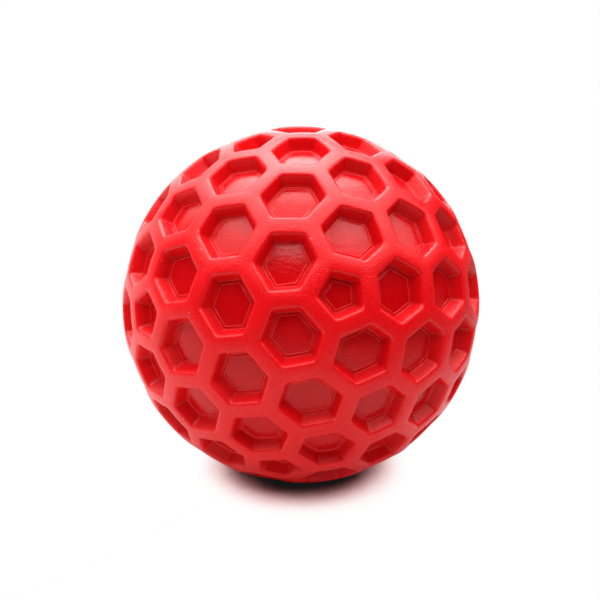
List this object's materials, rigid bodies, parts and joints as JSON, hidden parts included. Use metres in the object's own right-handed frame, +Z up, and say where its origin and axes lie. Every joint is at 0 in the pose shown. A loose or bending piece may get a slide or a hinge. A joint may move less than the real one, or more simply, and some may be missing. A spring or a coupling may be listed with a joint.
{
  "type": "massage ball",
  "caption": "Firm massage ball: a matt rubber honeycomb with hexagonal and pentagonal windows, moulded over a smooth hollow inner ball.",
  "frame": {"origin": "the ball's centre", "axes": "+Z up as the ball stands, through the middles of the highest and the lowest hexagonal window; +Y away from the side that shows most, with +X to its right"},
  "size_m": [0.0648, 0.065, 0.0646],
  "materials": {
    "cover": "fine matt mould texture",
    "inner_ball": "smooth, semi-gloss"
  },
  "bodies": {
    "root": {"honeycomb_cover": "cover", "inner_ball_upper": "inner_ball", "inner_ball_lower": "inner_ball"}
  },
  "joints": []
}
